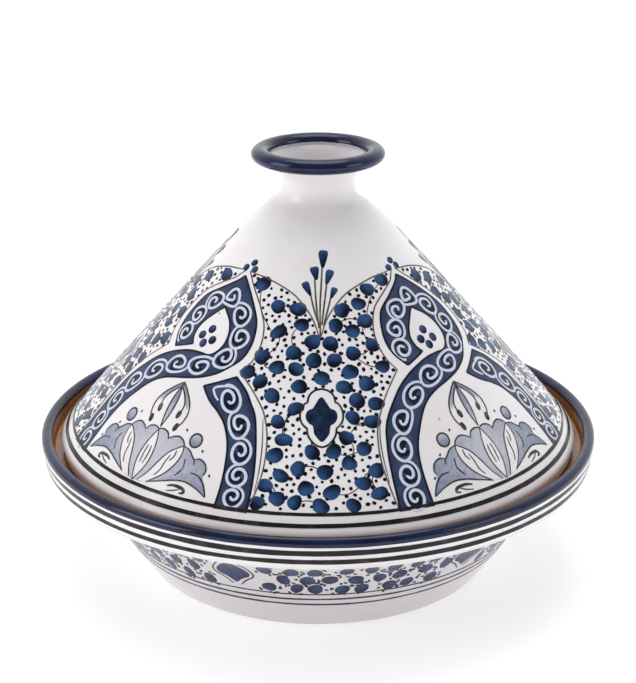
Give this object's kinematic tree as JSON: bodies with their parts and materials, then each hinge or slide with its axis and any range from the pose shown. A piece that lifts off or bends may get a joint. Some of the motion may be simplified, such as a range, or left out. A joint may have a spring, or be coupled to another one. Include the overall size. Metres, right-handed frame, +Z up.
{
  "type": "tagine pot",
  "caption": "Round shallow cooking dish with a flared collar and a tall conical lid with a cup-shaped knob, in painted glazed earthenware.",
  "frame": {"origin": "centre of the foot ring, on the surface the dish stands on", "axes": "+Z up along the pot's own axis; the pot is round, and +X is to the right of the view that shows a leaf panel in front"},
  "size_m": [0.305, 0.305, 0.2311],
  "materials": {
    "dish_glaze": "glossy white tin glaze with hand-painted blue and black bands and an amber glaze inside the rim",
    "lid_glaze": "glossy white tin glaze with hand-painted blue arches, lotus flowers and leaf sprays"
  },
  "bodies": {
    "dish": {"dish": "dish_glaze"},
    "lid": {"lid": "lid_glaze"}
  },
  "joints": [
    {"name": "lid_lift", "type": "slide", "parent": "dish", "child": "lid", "axis": [0, 0, 1], "range_m": [0, 0.2]}
  ]
}
